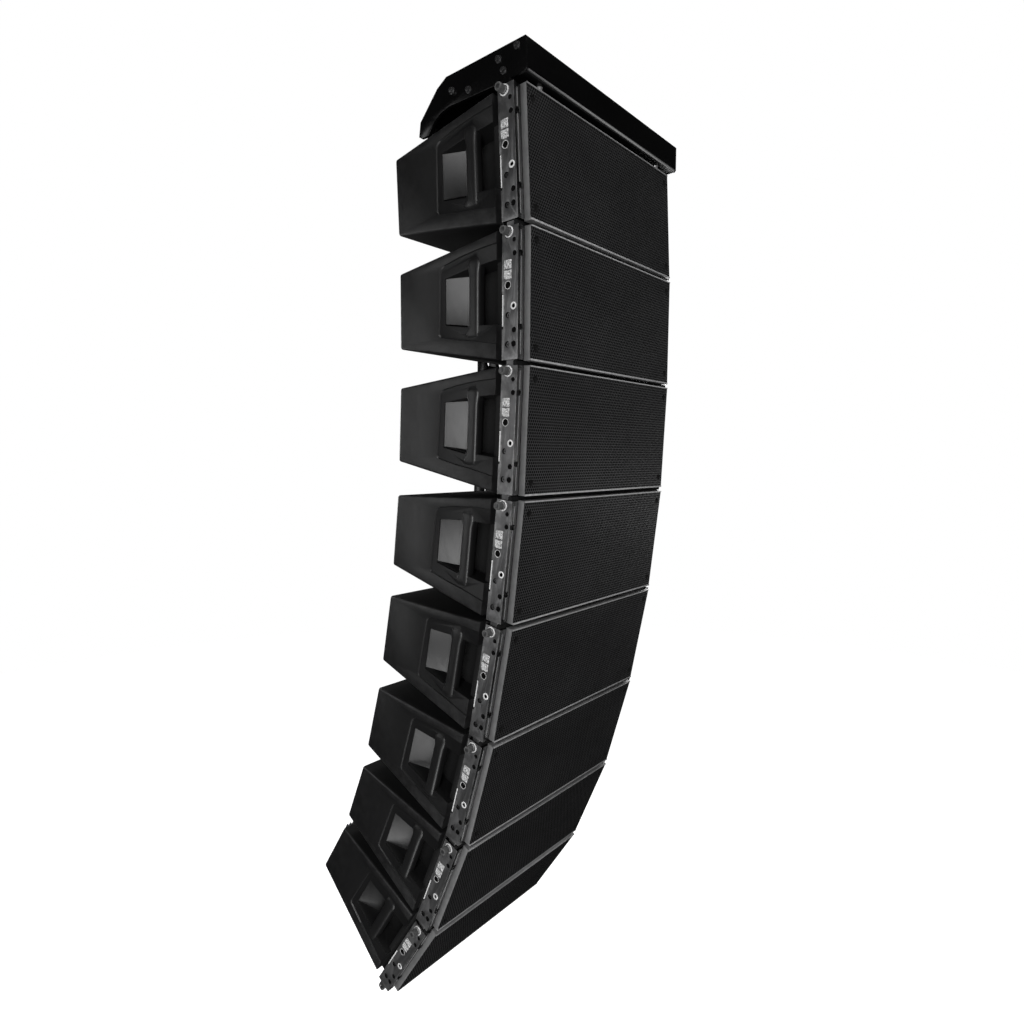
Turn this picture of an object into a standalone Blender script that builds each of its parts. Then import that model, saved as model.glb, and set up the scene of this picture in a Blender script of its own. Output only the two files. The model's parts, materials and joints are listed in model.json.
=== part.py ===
"""Flown line array: a fly frame and eight two-way modules hung in a J-shaped curve.

Frame of the part: +X across the width, -Y the way the grilles face, +Z up.
The origin is the centre of the pick hole in the fly frame's pick-up bar.

Frame of a module: y = 0 on the face of its grille, y grows to the rear, z = 0 at mid height.
Each module hangs on two front pins, one in each side's rigging, and turns about their axis.
"""

import bpy
import bmesh
import math
from mathutils import Matrix, Vector

# ---------------------------------------------------------------- driving dimensions (metres)

SPLAYS_DEG = (-2.5, 3.0, 2.5, 4.0, 4.5, 5.0, 7.0, 10.0)  # each module against the one above it
PITCH = 0.300               # from one front pin to the next
TOUCH_GAP = 0.0003          # kept between pieces that touch

HALF_WIDTH = 0.350          # outer face of the side rigging
SHELL_HALF_WIDTH = 0.349    # moulded side of the cabinet
NECK_HALF_WIDTH = 0.328     # cabinet between the side rigging
GRILLE_HALF_WIDTH = 0.324
GRILLE_HALF_HEIGHT = 0.1455
GRILLE_DEPTH = 0.020
SHEET = 0.0015              # grille steel
DEPTH = 0.404               # grille face to cabinet rear
SHELL_FRONT = 0.080         # where the full-width moulding starts
FRONT_TOP = 0.142
FRONT_BOTTOM = -0.141
REAR_TOP = 0.098
REAR_BOTTOM = -0.090
REAR_ROUND = 0.008

PIN_Y = 0.042               # front pin, which is the splay hinge
PIN_Z = 0.131
PIN_RADIUS = 0.0040
PIN_HOLE_RADIUS = 0.0045
LUG_RADIUS = 0.0105         # rounded end of each link lug
LUG_HALF_THICKNESS = 0.004
LUG_X = 0.340               # middle of the lug's thickness

LINK_Y = 0.417              # hinge of the rear splay link, on the rear rail
LINK_Z = -0.066
LINK_REACH = 0.179          # from that hinge to the link's free end
LINK_PIN_RADIUS = 0.005
RAIL_HALF_WIDTH = 0.0215

PICK_Y = 0.240              # pick hole from the top module's front pins
PICK_Z = 0.124
FRAME_LINK_Y = 0.375        # hinge of the top rear link, from the same pins
FRAME_LINK_Z = 0.050

HOLE_SIDES = 12
ARC_STEPS = 6


# ---------------------------------------------------------------- shape helpers

def clear_scene():
    """Remove whatever the file opened with."""
    for thing in list(bpy.data.objects):
        bpy.data.objects.remove(thing, do_unlink=True)


def arc(centre, radius, start_deg, end_deg, steps=ARC_STEPS):
    """Points along an arc in an outline's own plane."""
    points = []
    for step in range(steps + 1):
        angle = math.radians(start_deg + (end_deg - start_deg) * step / steps)
        points.append((centre[0] + radius * math.cos(angle), centre[1] + radius * math.sin(angle)))
    return points


def prism(outline, along, low, high):
    """Closed mesh of an outline extruded along X, Y or Z.

    The outline's two numbers are (y, z) along X, (x, z) along Y and (x, y) along Z.
    """
    place = {
        "X": lambda a, b, t: (t, a, b),
        "Y": lambda a, b, t: (a, t, b),
        "Z": lambda a, b, t: (a, b, t),
    }[along]
    shape = bmesh.new()
    foot = [shape.verts.new(place(a, b, low)) for a, b in outline]
    face = shape.faces.new(foot)
    grown = bmesh.ops.extrude_face_region(shape, geom=[face])
    moved = [item for item in grown["geom"] if isinstance(item, bmesh.types.BMVert)]
    bmesh.ops.translate(shape, verts=moved, vec=Vector(place(0.0, 0.0, high - low)))
    bmesh.ops.recalc_face_normals(shape, faces=shape.faces)
    mesh = bpy.data.meshes.new("prism")
    shape.to_mesh(mesh)
    shape.free()
    return mesh


def block(x_range, y_range, z_range):
    """Closed box mesh."""
    outline = [(y_range[0], z_range[0]), (y_range[1], z_range[0]), (y_range[1], z_range[1]), (y_range[0], z_range[1])]
    return prism(outline, "X", x_range[0], x_range[1])


def rod(y, z, radius, low, high, sides=HOLE_SIDES):
    """Closed round bar along X."""
    outline = arc((y, z), radius, 0.0, 360.0 - 360.0 / sides, sides - 1)
    return prism(outline, "X", low, high)


def flipped(mesh):
    """The same shape on the other side of the array."""
    other = mesh.copy()
    other.transform(Matrix.Scale(-1.0, 4, Vector((1.0, 0.0, 0.0))))
    other.flip_normals()
    return other


def carve(base, joins=(), cuts=()):
    """One mesh: the base joined with some shapes, then cut by others."""
    helpers = []
    target = bpy.data.objects.new("target", base)
    bpy.context.scene.collection.objects.link(target)
    for operation, shapes in (("UNION", joins), ("DIFFERENCE", cuts)):
        for mesh in shapes:
            helper = bpy.data.objects.new("helper", mesh)
            bpy.context.scene.collection.objects.link(helper)
            helper.hide_render = True
            helper.display_type = "WIRE"
            helpers.append(helper)
            step = target.modifiers.new(operation.lower(), "BOOLEAN")
            step.operation = operation
            step.solver = "EXACT"
            step.object = helper
    view = bpy.context.evaluated_depsgraph_get()
    result = bpy.data.meshes.new_from_object(target.evaluated_get(view))
    for thing in [target] + helpers:
        bpy.data.objects.remove(thing, do_unlink=True)
    return result


def smooth_round(mesh):
    """Shade curved walls smooth and keep true edges sharp."""
    mesh.shade_smooth()
    mesh.set_sharp_from_angle(angle=math.radians(35.0))
    return mesh


# ---------------------------------------------------------------- materials

def make_material(name, colour, roughness, metallic):
    """Principled material of one finish."""
    material = bpy.data.materials.new(name)
    material.use_nodes = True
    shader = material.node_tree.nodes["Principled BSDF"]
    shader.inputs["Base Color"].default_value = (*colour, 1.0)
    shader.inputs["Roughness"].default_value = roughness
    shader.inputs["Metallic"].default_value = metallic
    return material


# ---------------------------------------------------------------- cabinet

def side_outline():
    """Cabinet seen from the side: level at the front, both faces sloping to the rear."""
    return [
        (SHELL_FRONT, FRONT_TOP),
        (DEPTH - REAR_ROUND, REAR_TOP),
        (DEPTH, REAR_TOP - REAR_ROUND),
        (DEPTH, REAR_BOTTOM + REAR_ROUND),
        (DEPTH - REAR_ROUND, REAR_BOTTOM),
        (SHELL_FRONT, FRONT_BOTTOM),
    ]


def handle_panel():
    """Shallow panel around the handle pocket, cut from the left side."""
    outline = [
        (0.070, 0.115), (0.140, 0.112), (0.200, 0.103), (0.240, 0.094), (0.258, 0.080),
        (0.260, -0.070), (0.200, -0.084), (0.160, -0.091), (0.070, -0.106),
    ]
    panel_depth = 0.006
    return prism(outline, "X", -HALF_WIDTH - 0.010, -SHELL_HALF_WIDTH + panel_depth)


def handle_pocket():
    """Hand space behind the handle, seen from above: a deep floor that ramps up to the rear."""
    outside = -HALF_WIDTH - 0.010
    floor = -0.289
    outline = [
        (outside, 0.074), (-NECK_HALF_WIDTH - 0.0005, 0.074), (-NECK_HALF_WIDTH - 0.0005, 0.094),
        (floor, 0.094), (floor, 0.165), (-0.343, 0.241), (outside, 0.243),
    ]
    return prism(outline, "Z", -0.060, 0.066)


def handle_bar():
    """Upright grip across the pocket, with round ends."""
    front, rear, low, high = 0.130, 0.160, -0.084, 0.098
    middle = (front + rear) / 2
    radius = (rear - front) / 2
    outline = arc((middle, high - radius), radius, 0.0, 180.0) + arc((middle, low + radius), radius, 180.0, 360.0)
    return prism(outline, "X", -SHELL_HALF_WIDTH, -0.3235)


def cabinet_mesh():
    """Moulded enclosure with handle pockets, front mouth and rear rigging rail."""
    shell = prism(side_outline(), "X", -SHELL_HALF_WIDTH, SHELL_HALF_WIDTH)
    neck_end = SHELL_FRONT + 0.010
    neck = block((-NECK_HALF_WIDTH, NECK_HALF_WIDTH), (GRILLE_DEPTH + TOUCH_GAP, neck_end), (-0.139, 0.139))
    plug_half = GRILLE_HALF_WIDTH - SHEET - 0.001
    plug = block((-plug_half, plug_half), (0.006, 0.040), (-0.1385, 0.1385))
    mouth = block((-0.300, 0.300), (-0.010, 0.030), (-0.118, 0.118))
    bay = block((-0.036, 0.036), (0.378, DEPTH + 0.010), (-0.200, 0.200))
    hollow = carve(shell, joins=[neck, plug], cuts=[
        mouth, bay, handle_panel(), flipped(handle_panel()), handle_pocket(), flipped(handle_pocket()),
    ])
    rail = block((-RAIL_HALF_WIDTH, RAIL_HALF_WIDTH), (0.370, 0.432), (-0.082, 0.088))
    bar = handle_bar()
    link_hole = rod(LINK_Y, LINK_Z, LINK_PIN_RADIUS + 0.0005, -0.050, 0.050)
    return carve(hollow, joins=[rail, bar, flipped(bar)], cuts=[link_hole])


# ---------------------------------------------------------------- grille

def grille_mesh():
    """Front sheet folded back on all four sides, like a shallow tray."""
    tray = block(
        (-GRILLE_HALF_WIDTH, GRILLE_HALF_WIDTH), (0.0, GRILLE_DEPTH), (-GRILLE_HALF_HEIGHT, GRILLE_HALF_HEIGHT),
    )
    inner_width = GRILLE_HALF_WIDTH - SHEET
    inner_height = GRILLE_HALF_HEIGHT - SHEET
    inside = block((-inner_width, inner_width), (SHEET, GRILLE_DEPTH + 0.010), (-inner_height, inner_height))
    return carve(tray, cuts=[inside])


# ---------------------------------------------------------------- side rigging

def lug_outline(centre_y, pin_z, top_z):
    """Link lug seen from the side: straight flanks and a round end about its pin hole."""
    centre = (centre_y, pin_z)
    return [(centre_y + LUG_RADIUS, top_z), (centre_y - LUG_RADIUS, top_z)] + arc(centre, LUG_RADIUS, 180.0, 360.0)


def rigging_mesh():
    """Left side rigging: a steel upright, a lug below and a pocket on top for the lug above."""
    upright = block((-HALF_WIDTH, -0.330), (0.016, 0.062), (-0.144, 0.144))
    lug_low = -LUG_X - LUG_HALF_THICKNESS
    lug_high = -LUG_X + LUG_HALF_THICKNESS
    lug = prism(lug_outline(PIN_Y, PIN_Z - PITCH, -0.130), "X", lug_low, lug_high)
    slack = 0.001
    pocket = block((lug_low - slack, lug_high + slack), (PIN_Y - 0.0145, PIN_Y + 0.0145), (0.117, 0.160))
    top_hole = rod(PIN_Y, PIN_Z, PIN_HOLE_RADIUS, -0.360, -0.320)
    lug_hole = rod(PIN_Y, PIN_Z - PITCH, PIN_HOLE_RADIUS, -0.360, -0.320)
    return carve(upright, joins=[lug], cuts=[pocket, top_hole, lug_hole])


def pin_mesh():
    """Left quick-release pin: slim shaft, collar and gripped head, turned about its own axis."""
    head_sides = 16
    stations = [
        (-0.3310, PIN_RADIUS), (-HALF_WIDTH - TOUCH_GAP, PIN_RADIUS), (-HALF_WIDTH - TOUCH_GAP, 0.0110),
        (-0.3540, 0.0110), (-0.3540, 0.0085), (-0.3570, 0.0085), (-0.3570, 0.0120), (-0.3725, 0.0120),
        (-0.3740, 0.0105),
    ]
    shape = bmesh.new()
    rings = []
    for x, radius in stations:
        ring = []
        for side in range(head_sides):
            angle = 2.0 * math.pi * side / head_sides
            ring.append(shape.verts.new((x, radius * math.cos(angle), radius * math.sin(angle))))
        rings.append(ring)
    for near, far in zip(rings, rings[1:]):
        for side in range(head_sides):
            after = (side + 1) % head_sides
            shape.faces.new((near[side], near[after], far[after], far[side]))
    shape.faces.new(rings[0])
    shape.faces.new(rings[-1])
    bmesh.ops.recalc_face_normals(shape, faces=shape.faces)
    mesh = bpy.data.meshes.new("pin")
    shape.to_mesh(mesh)
    shape.free()
    return smooth_round(mesh)


# ---------------------------------------------------------------- rear splay link

def link_mesh():
    """Yoke of two cheek plates on a web and a cross pin; the mesh's origin is the cross pin's axis."""
    half_depth = 0.015
    front = -0.024
    inner = RAIL_HALF_WIDTH + 0.0007
    outer = inner + 0.006
    top = arc((0.0, 0.0), half_depth, 0.0, 180.0)
    front_edge = [(-half_depth, -0.014), (front, -0.034), (front, -0.140), (-half_depth, -0.160)]
    foot = arc((0.0, half_depth - LINK_REACH), half_depth, 180.0, 360.0)
    left_bar = prism(top + front_edge + foot, "X", -outer, -inner)
    right_bar = prism(top + front_edge + foot, "X", inner, outer)
    web = block((-inner - 0.002, inner + 0.002), (-0.012, 0.012), (-0.068, -0.030))
    pin = rod(0.0, 0.0, LINK_PIN_RADIUS, -inner - 0.002, inner + 0.002)
    return carve(web, joins=[left_bar, right_bar, pin])


# ---------------------------------------------------------------- fly frame

def frame_side_mesh():
    """Left plate of the fly frame with its tail and the lug that enters the top module."""
    outline = [
        (-0.057, 0.027), (-0.057, 0.094), (-0.053, 0.098), (0.184, 0.092), (0.214, 0.075), (0.272, 0.016),
        (0.277, -0.017), (0.269, -0.022), (0.244, -0.022), (0.222, 0.006), (0.205, 0.016), (0.176, 0.023),
        (LUG_RADIUS, 0.023),
    ]
    lug_end = arc((0.0, 0.0), LUG_RADIUS, 360.0, 180.0)
    outline = outline + lug_end + [(-LUG_RADIUS, 0.025)]
    return prism(outline, "X", -LUG_X - LUG_HALF_THICKNESS, -LUG_X + LUG_HALF_THICKNESS)


def frame_mesh():
    """Welded fly frame: folded front beam, deck, two side plates and a sloping rear panel."""
    half_inside = LUG_X
    beam_outline = [
        (-0.057, 0.027), (-0.002, 0.027), (-0.002, 0.033), (-0.051, 0.033), (-0.051, 0.084), (0.184, 0.084),
        (0.204, 0.068), (0.258, 0.012), (0.262, -0.015), (0.268, -0.015), (0.264, 0.014), (0.208, 0.072),
        (0.186, 0.089), (-0.040, 0.089), (-0.053, 0.098), (-0.057, 0.094),
    ]
    beam = prism(beam_outline, "X", -half_inside, half_inside)
    side = frame_side_mesh()
    holes = [rod(0.0, 0.0, PIN_HOLE_RADIUS, -0.360, -0.320), rod(0.0, 0.0, PIN_HOLE_RADIUS, 0.320, 0.360)]
    return carve(beam, joins=[side, flipped(side)], cuts=holes)


def pickup_bar_mesh():
    """Pick-up bar on the deck: a drilled fin on a foot, and the hinge block of the top rear link."""
    fin_half = 0.010
    foot_low = 0.089 + TOUCH_GAP
    foot_high = 0.101
    fin_high = 0.149
    rear = FRAME_LINK_Y + 0.015
    fin = block((-fin_half, fin_half), (0.030, rear), (foot_low, fin_high))
    foot = block((-RAIL_HALF_WIDTH, RAIL_HALF_WIDTH), (0.030, rear), (foot_low, foot_high))
    end_low = arc((FRAME_LINK_Y, FRAME_LINK_Z), 0.015, 180.0, 360.0)
    end_block = [(rear, 0.098), (FRAME_LINK_Y - 0.015, 0.098)] + end_low
    hinge_block = prism(end_block, "X", -RAIL_HALF_WIDTH, RAIL_HALF_WIDTH)
    first_hole = 0.060
    hole_step = 0.030
    hole_count = 10
    holes = [rod(FRAME_LINK_Y, FRAME_LINK_Z, LINK_PIN_RADIUS + 0.0005, -0.050, 0.050)]
    for number in range(hole_count):
        holes.append(rod(first_hole + number * hole_step, PICK_Z, 0.0105, -0.050, 0.050))
    return carve(fin, joins=[foot, hinge_block], cuts=holes)


def stud_mesh():
    """Stop stud under the front beam: a round foot on a short neck."""
    shape = bmesh.new()
    bmesh.ops.create_cone(
        shape, cap_ends=True, segments=HOLE_SIDES, radius1=0.0055, radius2=0.0070, depth=0.007,
        matrix=Matrix.Translation((0.0, 0.0, -0.0035 - TOUCH_GAP)),
    )
    mesh = bpy.data.meshes.new("stud")
    shape.to_mesh(mesh)
    shape.free()
    return smooth_round(mesh)


# ---------------------------------------------------------------- assembly

def add_empty(name, parent, location, turn_deg=0.0):
    """Joint or frame marker, turned about X."""
    empty = bpy.data.objects.new(name, None)
    bpy.context.scene.collection.objects.link(empty)
    empty.parent = parent
    empty.location = location
    empty.rotation_euler = (math.radians(turn_deg), 0.0, 0.0)
    return empty


def add_piece(name, mesh, material, parent, location=(0.0, 0.0, 0.0)):
    """Named piece with its own material slot."""
    piece = bpy.data.objects.new(name, mesh)
    bpy.context.scene.collection.objects.link(piece)
    if not mesh.materials:
        mesh.materials.append(material)
    piece.parent = parent
    piece.location = location
    return piece


def build_array():
    """Hang the modules one under the other from the fly frame."""
    black_paint = make_material("frame_paint", (0.012, 0.012, 0.013), 0.40, 0.0)
    moulding = make_material("cabinet_moulding", (0.022, 0.022, 0.024), 0.50, 0.0)
    grille_steel = make_material("grille_steel", (0.020, 0.020, 0.021), 0.45, 0.3)
    rig_steel = make_material("rigging_steel", (0.090, 0.090, 0.095), 0.42, 0.7)
    link_steel = make_material("link_steel", (0.060, 0.060, 0.063), 0.40, 0.7)
    pin_steel = make_material("pin_steel", (0.300, 0.300, 0.310), 0.35, 0.9)
    stud_steel = make_material("stud_steel", (0.450, 0.450, 0.460), 0.30, 0.9)

    cabinet = cabinet_mesh()
    grille = grille_mesh()
    rig_left = rigging_mesh()
    rig_right = flipped(rig_left)
    pin_left = pin_mesh()
    pin_right = flipped(pin_left)
    link = link_mesh()

    frame = add_empty("frame_pins", None, (0.0, -PICK_Y, -PICK_Z))
    add_piece("fly_frame", frame_mesh(), black_paint, frame)
    add_piece("pickup_bar", pickup_bar_mesh(), black_paint, frame)
    stud = stud_mesh()
    add_piece("stop_stud_left", stud, stud_steel, frame, (-0.268, -0.032, 0.027))
    add_piece("stop_stud_right", stud, stud_steel, frame, (0.268, -0.032, 0.027))

    above = frame
    hinge_at = Vector((0.0, 0.0, 0.0))
    link_at = Vector((0.0, FRAME_LINK_Y, FRAME_LINK_Z))
    to_module = Vector((0.0, -PIN_Y, -PIN_Z))
    for number, splay in enumerate(SPLAYS_DEG, start=1):
        add_piece(f"rear_link_{number}", link, link_steel, add_empty(f"link_hinge_{number}", above, link_at))
        hinge = add_empty(f"splay_hinge_{number}", above, hinge_at, splay)
        add_piece(f"cabinet_{number}", cabinet, moulding, hinge, to_module)
        add_piece(f"grille_{number}", grille, grille_steel, hinge, to_module)
        add_piece(f"rig_left_{number}", rig_left, rig_steel, hinge, to_module)
        add_piece(f"rig_right_{number}", rig_right, rig_steel, hinge, to_module)
        add_piece(f"pin_left_{number}", pin_left, pin_steel, hinge)
        add_piece(f"pin_right_{number}", pin_right, pin_steel, hinge)
        above = hinge
        hinge_at = Vector((0.0, 0.0, -PITCH))
        link_at = Vector((0.0, LINK_Y - PIN_Y, LINK_Z - PIN_Z))


clear_scene()
build_array()
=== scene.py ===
"""Looks of the flown line array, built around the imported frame.

Module frame, used by every module piece: y = 0 on the grille's face and grows to the rear,
z = 0 at mid height, x = 0 in the middle. Left pieces are modelled and mirrored for the right.
"""

import json
import math

import bmesh
import bpy
from mathutils import Matrix, Vector


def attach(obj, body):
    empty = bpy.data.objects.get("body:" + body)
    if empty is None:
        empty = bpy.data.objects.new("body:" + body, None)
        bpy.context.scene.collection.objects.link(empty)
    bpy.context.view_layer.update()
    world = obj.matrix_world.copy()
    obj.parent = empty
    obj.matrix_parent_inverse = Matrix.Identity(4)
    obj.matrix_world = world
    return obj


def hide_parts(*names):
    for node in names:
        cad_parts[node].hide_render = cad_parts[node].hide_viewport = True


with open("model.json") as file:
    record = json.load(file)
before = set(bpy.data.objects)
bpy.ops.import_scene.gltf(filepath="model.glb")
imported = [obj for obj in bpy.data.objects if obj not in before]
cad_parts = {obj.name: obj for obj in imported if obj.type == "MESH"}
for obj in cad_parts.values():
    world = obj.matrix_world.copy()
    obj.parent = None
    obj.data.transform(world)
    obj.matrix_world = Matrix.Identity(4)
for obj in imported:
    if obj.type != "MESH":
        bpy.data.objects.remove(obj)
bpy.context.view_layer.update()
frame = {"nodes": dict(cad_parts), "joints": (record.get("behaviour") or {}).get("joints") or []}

# ---- dimensions (metres)

SPLAYS_DEG = (-2.5, 3.0, 2.5, 4.0, 4.5, 5.0, 7.0, 10.0)
PIN_Y = 0.042
PIN_Z = 0.131
LINK_Y = 0.417
LINK_Z = -0.066
PITCH = 0.300

HALF_WIDTH = 0.350
SHELL_HALF = 0.349
NECK_HALF = 0.328
GRILLE_HALF_WIDTH = 0.324
GRILLE_HALF_HEIGHT = 0.1455
GRILLE_DEPTH = 0.020
DEPTH = 0.404
SHELL_FRONT = 0.080
BAFFLE_Y = 0.030
WOOFER_X = 0.178
WOOFER_RADIUS = 0.112
RAIL_HALF = 0.0215
PANEL_DEPTH = 0.0036
PANEL_SLOPE = 0.0016
SHELL_ROUND = 0.006
GROOVE_END = -0.318
PIN_HOLE_RADIUS = 0.0045
LUG_RADIUS = 0.0105
LINK_HOLE_RADIUS = 0.0055
SHEET_WALL = 0.0016
WELD_RADIUS = 0.0022
PLATE_FACE = DEPTH + 0.0018
CLEAR_OF_LEFT = -0.360  # x where the side cutters start
SMOOTH_DEG = 32.0
SKIN_SMOOTH_DEG = 34.0
WORLD = Matrix.Identity(4)

scene = bpy.context.scene


# ---- mesh helpers

def arc(centre, radius, start_deg, end_deg, steps=8):
    """Points along an arc in an outline's own plane."""
    points = []
    for step in range(steps + 1):
        angle = math.radians(start_deg + (end_deg - start_deg) * step / steps)
        points.append((centre[0] + radius * math.cos(angle), centre[1] + radius * math.sin(angle)))
    return points


def circle(centre, radius, sides=24):
    """Closed ring of points."""
    return arc(centre, radius, 0.0, 360.0 - 360.0 / sides, sides - 1)


def written(shape, name):
    """Mesh made from a bmesh, which is freed."""
    mesh = bpy.data.meshes.new(name)
    shape.to_mesh(mesh)
    shape.free()
    return mesh


def mesh_from(shape, name):
    """Mesh made from a bmesh after turning its faces outwards."""
    bmesh.ops.recalc_face_normals(shape, faces=shape.faces)
    return written(shape, name)


def linked(name, data):
    """New object in the scene."""
    thing = bpy.data.objects.new(name, data)
    scene.collection.objects.link(thing)
    return thing


def skinned(rings, name, closed=False):
    """Mesh over rings of points, capped at both ends or closed into a loop."""
    shape = bmesh.new()
    loops = [[shape.verts.new(point) for point in ring] for ring in rings]
    pairs = list(zip(loops, loops[1:]))
    if closed:
        pairs.append((loops[-1], loops[0]))
    for near, far in pairs:
        for side in range(len(near)):
            after = (side + 1) % len(near)
            shape.faces.new((near[side], near[after], far[after], far[side]))
    if not closed:
        shape.faces.new(loops[0])
        shape.faces.new(loops[-1])
    return mesh_from(shape, name)


def turns(sides):
    """Cosine and sine of equal steps round a circle."""
    angles = [2.0 * math.pi * side / sides for side in range(sides)]
    return [(math.cos(angle), math.sin(angle)) for angle in angles]


def prism(outline, along, low, high):
    """Outline extruded along X (y, z), along Y (x, z) or along Z (x, y)."""
    place = {
        "X": lambda a, b, t: (t, a, b),
        "Y": lambda a, b, t: (a, t, b),
        "Z": lambda a, b, t: (a, b, t),
    }[along]
    shape = bmesh.new()
    face = shape.faces.new([shape.verts.new(place(a, b, low)) for a, b in outline])
    grown = bmesh.ops.extrude_face_region(shape, geom=[face])
    moved = [item for item in grown["geom"] if isinstance(item, bmesh.types.BMVert)]
    bmesh.ops.translate(shape, verts=moved, vec=Vector(place(0.0, 0.0, high - low)))
    return mesh_from(shape, "prism")


def block(x_range, y_range, z_range):
    """Box mesh."""
    (y_low, y_high), (z_low, z_high) = y_range, z_range
    outline = [(y_low, z_low), (y_high, z_low), (y_high, z_high), (y_low, z_high)]
    return prism(outline, "X", *x_range)


def drill(y, z, radius, low, high, sides=24):
    """Round bar along X that cuts a hole."""
    return prism(circle((y, z), radius, sides), "X", low, high)


def lathe(stations, axis="X", centre=(0.0, 0.0, 0.0), sides=32, closed=False):
    """Profile of (distance along the axis, radius) turned about an X or Y axis through centre."""
    rings = []
    for along, radius in stations:
        ring = []
        for cos, sin in turns(sides):
            a, b = radius * cos, radius * sin
            ring.append(Vector((along, a, b) if axis == "X" else (b, along, a)) + Vector(centre))
        rings.append(ring)
    return skinned(rings, "lathe", closed)


def evaluated(mesh, steps, name):
    """Mesh after a list of modifier set-up functions; helper objects are removed."""
    target = linked("target", mesh)
    helpers = []
    for step in steps:
        helper = step(target)
        if helper is not None:
            helpers.append(helper)
    view = bpy.context.evaluated_depsgraph_get()
    result = bpy.data.meshes.new_from_object(target.evaluated_get(view))
    result.name = name
    for thing in [target] + helpers:
        bpy.data.objects.remove(thing, do_unlink=True)
    return result


def boolean(operation, mesh):
    """Step that joins, cuts or intersects with another mesh."""
    def apply(target):
        helper = linked("helper", mesh)
        modifier = target.modifiers.new("boolean", "BOOLEAN")
        modifier.operation = operation
        modifier.solver = "EXACT"
        modifier.object = helper
        return helper
    return apply


def round_edges(width, angle=30.0):
    """Step that bevels every edge sharper than the angle in degrees."""
    def apply(target):
        modifier = target.modifiers.new("bevel", "BEVEL")
        modifier.width = width
        modifier.segments = 2
        modifier.limit_method = "ANGLE"
        modifier.angle_limit = math.radians(angle)
    return apply


def smooth(mesh, angle=SMOOTH_DEG):
    """Shade smooth, with edges above the angle in degrees kept sharp."""
    mesh.shade_smooth()
    mesh.set_sharp_from_angle(angle=math.radians(angle))
    return mesh


def painted(mesh, *materials):
    """The mesh with this list of materials, all faces on the first."""
    mesh.materials.clear()
    for material in materials:
        mesh.materials.append(material)
    return mesh


def carved(base, joins, cuts, name, bevel=0.0, angle=30.0):
    """Base joined with some meshes, cut by others, then bevelled."""
    steps = [boolean("UNION", mesh) for mesh in joins]
    steps += [boolean("DIFFERENCE", mesh) for mesh in cuts]
    if bevel:
        steps.append(round_edges(bevel, angle))
    return evaluated(base, steps, name)


def built(base, joins=(), cuts=(), bevel=0.0, name="piece"):
    """Carved piece, shaded smooth."""
    return smooth(carved(base, joins, cuts, name, bevel))


def mirrored(mesh):
    """The same piece for the other side."""
    other = mesh.copy()
    other.transform(Matrix.Scale(-1.0, 4, Vector((1.0, 0.0, 0.0))))
    other.flip_normals()
    return other


def gathered(parts, name):
    """One mesh from (mesh, material) pairs, each keeping its own material."""
    shape = bmesh.new()
    materials = []
    for mesh, material in parts:
        if material not in materials:
            materials.append(material)
        index = materials.index(material)
        known = len(shape.faces)
        shape.from_mesh(mesh)
        shape.faces.ensure_lookup_table()
        for face in shape.faces[known:]:
            face.material_index = index
    mesh = written(shape, name)
    for material in materials:
        mesh.materials.append(material)
    return smooth(mesh)


# ---- materials

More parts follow.
